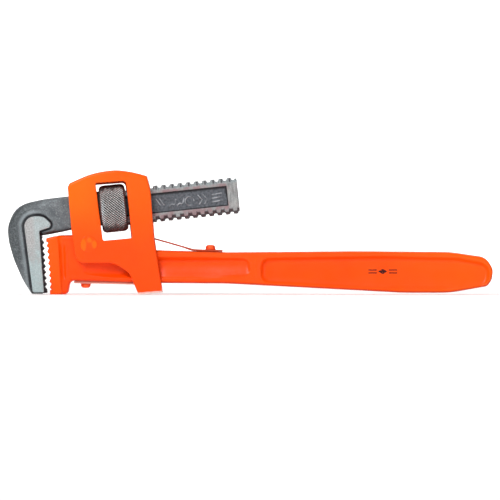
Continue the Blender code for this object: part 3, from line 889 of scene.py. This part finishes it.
def make_rivet(name, rivet, node):
    """A rivet along z, with its origin on the handle's face."""
    seat = SPRING_THICKNESS + GAP
    top = seat + GAP + rivet["head"]
    sunk = 2.0
    flare_r = RIVET_HEAD_R + 0.1

    def field(x, y, z):
        """A shaft under a bulging head with a domed top and a flare round its foot."""
        reach = np.hypot(x, y)
        dome = z - top + 0.5 * (reach / RIVET_HEAD_R) ** 2
        up_head = (2 * z - seat - top) / (top - seat)
        side = reach - RIVET_HEAD_R + 0.1 + 0.35 * up_head**2
        head = common(common(side, dome, 1.3), seat - z, 0.3)
        flare = np.maximum(common(reach - flare_r, z - seat - 0.55, 0.4), seat - z)
        shaft = np.maximum(np.maximum(reach - RIVET_R, z - top + 1), -sunk - z)
        uneven = 0.05 * np.sin(2 * x + 1) * np.sin(2.3 * y)
        return join(np.minimum(head, shaft), flare, 0.4) + uneven

    turn = Matrix.Rotation(0 if rivet["up"] > 0 else math.pi, 4, "X")
    place = Matrix.Translation((rivet["x"], 0, rivet["face"])) @ turn
    piece, points = solid(name, field, (-flare_r, -flare_r, -sunk), (flare_r, flare_r, top + 0.1), 0.2, place)
    x, y, z = points.T
    mask(piece, "lit", step_down(np.hypot(x, 0.4 * y), 1.3, 2.5) * step_up(z, seat + 0.3, seat + 1.2))
    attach(piece, "handle")
    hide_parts(node)
    return piece


# ---------------- materials


def add(tree, kind, inputs=None, **settings):
    """A new node, with its settings, and its inputs linked to sockets or set to values."""
    node = tree.nodes.new(kind)
    for name, value in settings.items():
        setattr(node, name, value)
    for name, value in (inputs or {}).items():
        if isinstance(value, bpy.types.NodeSocket):
            tree.links.new(value, node.inputs[name])
        else:
            node.inputs[name].default_value = value
    return node


def coordinates(tree):
    return add(tree, "ShaderNodeTexCoord").outputs["Object"]


def noise(tree, size_mm, detail=3.0, distortion=0.0, stretch=(1, 1, 1)):
    """Noise from 0 to 1 with features of about this size, longer along an axis whose stretch is above 1."""
    scale = tuple(1 / s for s in stretch)
    place = add(tree, "ShaderNodeMapping", {"Vector": coordinates(tree), "Scale": scale})
    inputs = {
        "Vector": place.outputs["Vector"],
        "Scale": 1 / (size_mm * MM),
        "Detail": detail,
        "Distortion": distortion,
    }
    return add(tree, "ShaderNodeTexNoise", inputs).outputs["Fac"]


def ramp(tree, value, low, high, out_low=0.0, out_high=1.0):
    """A value between the low and the high one, spread over the range from out_low to out_high."""
    inputs = {"Value": value, "From Min": low, "From Max": high, "To Min": out_low, "To Max": out_high}
    return add(tree, "ShaderNodeMapRange", inputs).outputs["Result"]


def read(tree, name):
    """A mask that a piece stores. It is 0 on a piece that has none of that name."""
    return add(tree, "ShaderNodeAttribute", attribute_name=name).outputs["Fac"]


def mix(tree, amount, one, other):
    """One colour where the amount is 0, the other where it is 1."""
    node = add(tree, "ShaderNodeMix", data_type="RGBA")
    for socket, value in ((node.inputs[0], amount), (node.inputs[6], one), (node.inputs[7], other)):
        if isinstance(value, bpy.types.NodeSocket):
            tree.links.new(value, socket)
        else:
            socket.default_value = value
    return node.outputs[2]


def times(tree, one, other):
    return add(tree, "ShaderNodeMath", {0: one, 1: other}, operation="MULTIPLY").outputs["Value"]


def plus(tree, one, other):
    return add(tree, "ShaderNodeMath", {0: one, 1: other}, operation="ADD").outputs["Value"]


def bump(tree, height, distance_mm):
    inputs = {"Height": height, "Distance": distance_mm * MM}
    return add(tree, "ShaderNodeBump", inputs).outputs["Normal"]


def size_of(tree, value):
    """A value without its sign."""
    return add(tree, "ShaderNodeMath", {0: value}, operation="ABSOLUTE").outputs["Value"]


def new_material(name):
    made = bpy.data.materials.new(name)
    made.use_nodes = True
    return made, made.node_tree, made.node_tree.nodes["Principled BSDF"]


def near_zero(tree, value, width, soft):
    """1 where a value lies within a width of zero, and 0 beyond, with a soft edge."""
    return ramp(tree, size_of(tree, value), width - soft, width + soft, 1.0, 0.0)


def printed_mark(tree):
    """A plain printed device on the grip: a lozenge between two pairs of bars."""
    soft = 0.06 * MM
    lozenge_half = 1.7 * MM
    bar_height = 0.9 * MM
    bar_half = 0.35 * MM
    bar_middle = 6.3 * MM
    bar_half_length = 2.6 * MM
    place = add(tree, "ShaderNodeSeparateXYZ", {"Vector": coordinates(tree)})
    across = size_of(tree, plus(tree, place.outputs["X"], -MARK_CENTRE[0] * MM))
    up = size_of(tree, plus(tree, place.outputs["Z"], -MARK_CENTRE[1] * MM))
    lozenge = near_zero(tree, plus(tree, times(tree, across, 0.6), up), lozenge_half, soft)
    pair = near_zero(tree, plus(tree, up, -bar_height), bar_half, soft)
    beside = near_zero(tree, plus(tree, across, -bar_middle), bar_half_length, soft)
    ink = plus(tree, lozenge, times(tree, pair, beside))
    front = ramp(tree, place.outputs["Y"], -3 * MM, -2 * MM, 1.0, 0.0)
    worn = ramp(tree, noise(tree, 0.6, 3.0), 0.3, 0.5, 0.5, 1.0)
    return times(tree, times(tree, ink, front), worn)


def enamel(name, light, deep, fleck):
    """Glossy enamel whose colour drifts between two tones, with faint darker flecks and orange peel."""
    made, tree, shader = new_material(name)
    cloudy = ramp(tree, noise(tree, 22, 2.0), 0.35, 0.65)
    colour = mix(tree, cloudy, deep, light)
    specks = ramp(tree, noise(tree, 1.6, 2.0), 0.66, 0.76, 0.0, 0.3)
    colour = mix(tree, specks, colour, fleck)
    tree.links.new(ramp(tree, noise(tree, 9, 3.0), 0.3, 0.7, 0.28, 0.4), shader.inputs["Roughness"])
    shader.inputs["Specular IOR Level"].default_value = 0.2
    peel = plus(tree, noise(tree, 2.4, 1.0), times(tree, noise(tree, 0.6, 2.0), 0.25))
    tree.links.new(bump(tree, peel, 0.07), shader.inputs["Normal"])
    return made, tree, shader, colour


def orange_paint():
    """The handle's and the frame's enamel, lighter where their masks paint light on, darker along the
    handle's lower edges as painted shade, with a painted highlight on the frame's foot and a plain mark on
    the grip.
    """
    made, tree, shader, colour = enamel(
        "orange_paint", (1.0, 0.074, 0.0016, 1), (1.0, 0.063, 0.0012, 1), (0.8, 0.040, 0.001, 1)
    )
    # Painted light: lighter where a piece's mask paints light on.
    colour = mix(tree, read(tree, "painted_light"), colour, (1.0, 0.135, 0.0016, 1))
    # Painted shade on the handle's lower edges.
    colour = mix(tree, times(tree, read(tree, "edge"), 0.8), colour, (0.45, 0.022, 0.002, 1))
    # Painted highlight on the frame's foot, patchy by noise.
    highlight_patches = ramp(tree, noise(tree, 2.0, 3.0), 0.3, 0.7)
    foot_highlight = mix(tree, highlight_patches, (0.90, 0.55, 0.46, 1), (0.95, 0.80, 0.76, 1))
    colour = mix(tree, read(tree, "foot_highlight"), colour, foot_highlight)
    colour = mix(tree, printed_mark(tree), colour, (0.012, 0.006, 0.008, 1))
    tree.links.new(colour, shader.inputs["Base Color"])
    return made


def spring_paint():
    """The same enamel on the springs and rivets, darker as painted shade, browner on the leaves' sides as
    painted shade and paler on the lower leaf as a painted reflection of the floor.
    """
    # Painted shade: this enamel is darker than the handle's, for the thin leaves and the rivets.
    made, tree, shader, colour = enamel(
        "spring_paint", (0.90, 0.070, 0.010, 1), (0.62, 0.048, 0.008, 1), (0.4, 0.03, 0.01, 1)
    )
    # Painted shade on the leaves' sides.
    colour = mix(tree, read(tree, "side"), colour, (0.46, 0.060, 0.022, 1))
    colour = mix(tree, read(tree, "lit"), colour, (0.95, 0.13, 0.03, 1))
    # Painted reflection of the floor on the lower leaf.
    colour = mix(tree, read(tree, "pale"), colour, (1.0, 0.60, 0.50, 1))
    tree.links.new(colour, shader.inputs["Base Color"])
    return made


def forged_steel():
    """Forging scale, with a ground pad, and a shank with a pinkish rim round a dark cast panel, with painted
    shade and painted highlights on the hook and the thread.
    """
    made, tree, shader = new_material("forged_steel")
    mottle = ramp(tree, noise(tree, 5.0, 6.0, 0.4), 0.32, 0.7)
    scale = mix(tree, mottle, (0.085, 0.100, 0.108, 1), (0.20, 0.225, 0.235, 1))
    fine = ramp(tree, noise(tree, 0.8, 4.0), 0.35, 0.65, 0.0, 0.6)
    scale = mix(tree, fine, scale, (0.085, 0.085, 0.098, 1))
    pale = ramp(tree, noise(tree, 0.9, 3.0), 0.56, 0.70, 0.0, 0.5)
    scale = mix(tree, pale, scale, (0.34, 0.38, 0.39, 1))

    grain = ramp(tree, noise(tree, 0.8, 6.0), 0.32, 0.68)
    warm = mix(tree, grain, (0.29, 0.29, 0.29, 1), (0.54, 0.54, 0.54, 1))
    cool = mix(tree, grain, (0.32, 0.40, 0.41, 1), (0.48, 0.565, 0.57, 1))
    ground = mix(tree, read(tree, "cool"), warm, cool)
    stain = ramp(tree, noise(tree, 4.0, 4.0), 0.52, 0.72, 0.0, 0.5)
    ground = mix(tree, stain, ground, (0.36, 0.33, 0.33, 1))
    # Painted shade on the hook's outer rim, broken up by noise.
    shade_breakup = ramp(tree, noise(tree, 1.0, 4.0), 0.38, 0.62, 0.25, 0.9)
    scale = mix(tree, times(tree, read(tree, "scale"), shade_breakup), scale, (0.050, 0.058, 0.062, 1))
    # Painted highlight on the shoulder round the pad.
    scale = mix(tree, times(tree, read(tree, "band_highlight"), 0.4), scale, (0.33, 0.38, 0.40, 1))
    colour = mix(tree, read(tree, "ground"), scale, ground)

    pink = ramp(tree, noise(tree, 4.0, 3.0), 0.42, 0.58)
    rim = mix(tree, pink, (0.34, 0.345, 0.345, 1), (0.33, 0.215, 0.225, 1))
    streaks = ramp(tree, noise(tree, 1.1, 4.0, 0.0, (1, 1, 6)), 0.35, 0.65)
    tip = mix(tree, streaks, (0.22, 0.24, 0.24, 1), (0.46, 0.47, 0.46, 1))
    rim = mix(tree, times(tree, read(tree, "tip"), 0.85), rim, tip)
    # Painted light on the upper crests.
    rim = mix(tree, times(tree, read(tree, "lit_upper_crests"), 0.85), rim, (0.36, 0.42, 0.43, 1))
    rim = mix(tree, ramp(tree, noise(tree, 0.6, 4.0), 0.38, 0.62, 0.0, 0.45), rim, (0.17, 0.15, 0.155, 1))
    colour = mix(tree, read(tree, "rim"), colour, rim)
    sandy = ramp(tree, noise(tree, 1.4, 5.0), 0.3, 0.7)
    cast = mix(tree, sandy, (0.050, 0.054, 0.064, 1), (0.135, 0.145, 0.165, 1))
    colour = mix(tree, read(tree, "panel"), colour, cast)
    worn = ramp(tree, noise(tree, 3.0, 3.0), 0.4, 0.6, 0.15, 0.75)
    colour = mix(tree, times(tree, read(tree, "relief"), worn), colour, (0.50, 0.51, 0.54, 1))
    # Painted shade on the thread.
    colour = mix(tree, read(tree, "root"), colour, (0.022, 0.014, 0.020, 1))
    # Painted shade in the panel's corners.
    colour = mix(tree, times(tree, read(tree, "corner"), 0.9), colour, (0.008, 0.008, 0.01, 1))
    # Painted shade in the gutter and under the throat, and the black of the teeth.
    colour = mix(tree, read(tree, "dark"), colour, (0.006, 0.004, 0.007, 1))
    tree.links.new(colour, shader.inputs["Base Color"])

    shader.inputs["Metallic"].default_value = 0.35
    tree.links.new(ramp(tree, noise(tree, 2.5, 4.0), 0.3, 0.7, 0.42, 0.62), shader.inputs["Roughness"])
    coarse = plus(tree, noise(tree, 1.8, 4.0), times(tree, noise(tree, 0.45, 3.0), 0.5))
    tree.links.new(bump(tree, coarse, 0.22), shader.inputs["Normal"])
    return made


def knurled_steel():
    """Bright steel with dark grooves, painted highlights along its edges, painted shade above and below, and
    darker end faces.
    """
    made, tree, shader = new_material("knurled_steel")
    patches = ramp(tree, noise(tree, 6.0, 4.0), 0.35, 0.65)
    colour = mix(tree, patches, (0.44, 0.43, 0.43, 1), (0.66, 0.64, 0.63, 1))
    # Painted highlights along the nut's edges.
    colour = mix(tree, times(tree, read(tree, "painted_highlight"), 0.7), colour, (0.70, 0.80, 0.84, 1))
    # Painted shade above and below, with the frame's red as a painted reflection.
    colour = mix(tree, times(tree, read(tree, "top_and_bottom_shade"), 0.8), colour, (0.026, 0.008, 0.010, 1))
    grooves = ramp(tree, read(tree, "groove"), 0.05, 0.75)
    colour = mix(tree, grooves, colour, (0.018, 0.008, 0.007, 1))
    # Darker end faces.
    colour = mix(tree, read(tree, "end_face"), colour, (0.10, 0.085, 0.085, 1))
    tree.links.new(colour, shader.inputs["Base Color"])
    shader.inputs["Metallic"].default_value = 0.6
    tree.links.new(ramp(tree, noise(tree, 2.0, 3.0), 0.3, 0.7, 0.34, 0.5), shader.inputs["Roughness"])
    tree.links.new(bump(tree, noise(tree, 0.5, 3.0), 0.06), shader.inputs["Normal"])
    return made


# ---------------- stage


def make_stage():
    """A pale floor that curves up into a wall far behind."""
    reach = 5.0
    wall = 4.6
    wall_top = 4.0
    bend = 0.6
    bend_steps = 12
    profile = [(-reach, 0.0), (wall - bend, 0.0)]
    for k in range(1, bend_steps + 1):
        angle = math.pi / 2 * k / bend_steps
        profile.append((wall - bend + bend * math.sin(angle), bend * (1 - math.cos(angle))))
    profile.append((wall, wall_top))
    points = [(side * reach, y, z) for y, z in profile for side in (-1, 1)]
    quads = [(2 * i, 2 * i + 1, 2 * i + 3, 2 * i + 2) for i in range(len(profile) - 1)]
    mesh = bpy.data.meshes.new("floor")
    mesh.from_pydata(points, [], quads)
    mesh.shade_smooth()
    floor = bpy.data.objects.new("floor", mesh)
    bpy.context.scene.collection.objects.link(floor)
    mesh.materials.append(floor_paper())


def floor_paper():
    """White paper that gives off some light of its own, more of it near the viewer and far behind."""
    made, tree, shader = new_material("floor")
    cloudy = ramp(tree, noise(tree, 400, 2.0), 0.3, 0.7)
    shade = mix(tree, cloudy, (0.88, 0.88, 0.88, 1), (0.90, 0.90, 0.90, 1))
    tree.links.new(shade, shader.inputs["Base Color"])
    shader.inputs["Roughness"].default_value = 0.9
    place = add(tree, "ShaderNodeSeparateXYZ", {"Vector": coordinates(tree)})
    near_glow = ramp(tree, place.outputs["Y"], -0.1, -1.0, 0.2, 0.75)
    far_glow = ramp(tree, place.outputs["Y"], 0.8, 2.2, 0.0, 0.65)
    tree.links.new(plus(tree, near_glow, far_glow), shader.inputs["Emission Strength"])
    shader.inputs["Emission Color"].default_value = (1, 1, 1, 1)
    return made


def area_light(name, place, target, size, watts):
    data = bpy.data.lights.new(name, "AREA")
    data.shape = "RECTANGLE"
    data.size, data.size_y = size
    data.energy = watts
    light = bpy.data.objects.new(name, data)
    light.location = place
    light.rotation_mode = "QUATERNION"
    light.rotation_quaternion = (Vector(place) - Vector(target)).to_track_quat("Z", "Y")
    bpy.context.scene.collection.objects.link(light)


def make_light():
    """A big soft key from above on the left, a weak fill from the right, and a light for the floor behind."""
    world = bpy.data.worlds.new("studio")
    bpy.context.scene.world = world
    world.use_nodes = True
    background = world.node_tree.nodes["Background"]
    background.inputs["Color"].default_value = (1, 1, 1, 1)
    background.inputs["Strength"].default_value = 0.25
    middle = (0, 0, 0.03)
    behind = (0, 1.6, 0.2)
    area_light("key", (-0.70, -1.35, 1.15), middle, size=(0.7, 0.7), watts=23.5)
    area_light("fill", (0.9, -1.4, 0.45), middle, size=(1.0, 0.8), watts=3)
    area_light("backdrop", (0, 0.75, 1.5), behind, size=(3.0, 0.6), watts=19)


def make_camera():
    """Looks along +Y, square to the wrench's plane, from far enough away to flatten its depth."""
    distance = 3.0
    width = 0.310
    middle_x, middle_z = -0.0007, 0.0275
    data = bpy.data.cameras.new("camera")
    data.sensor_width = 36.0
    data.lens = data.sensor_width * distance / width
    camera = bpy.data.objects.new("camera", data)
    camera.location = (middle_x, -distance, middle_z)
    camera.rotation_euler = (math.pi / 2, 0, 0)
    bpy.context.scene.collection.objects.link(camera)
    bpy.context.scene.camera = camera


def paint(piece, material):
    piece.data.materials.clear()
    piece.data.materials.append(material)


def make_springs():
    """Both leaves. Each lies on the handle by its rivet, and its tip follows the frame."""
    upper = make_spring(
        "top_leaf",
        upper_spring_line(),
        "upper_spring",
        UPPER_RIVET,
        low=(-72.0, -4.7, 25.4),
        high=(-17.8, 4.7, 36.5),
        seated=17.0,
        closing=GAP,
    )
    lower = make_spring(
        "bottom_leaf",
        lower_spring_line(),
        "lower_spring",
        LOWER_RIVET,
        low=(-109.6, -4.7, 5.0),
        high=(-60.0, 4.7, 8.3),
        seated=40.0,
        closing=GAP + 0.15,
    )
    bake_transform(upper)
    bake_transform(lower)
    return upper, lower


def main():
    make_camera()
    paint_orange = orange_paint()
    spring_orange = spring_paint()
    for piece in (make_handle(), make_frame(), make_pivot_pin()):
        paint(piece, paint_orange)
    paint(make_nut(), knurled_steel())
    paint(make_hook_jaw(), forged_steel())
    for piece in make_springs():
        paint(piece, spring_orange)
    paint(make_rivet("top_rivet", UPPER_RIVET, "upper_rivet"), spring_orange)
    paint(make_rivet("bottom_rivet", LOWER_RIVET, "lower_rivet"), spring_orange)
    make_stage()
    make_light()
    bpy.context.scene.view_settings.view_transform = "Standard"


main()
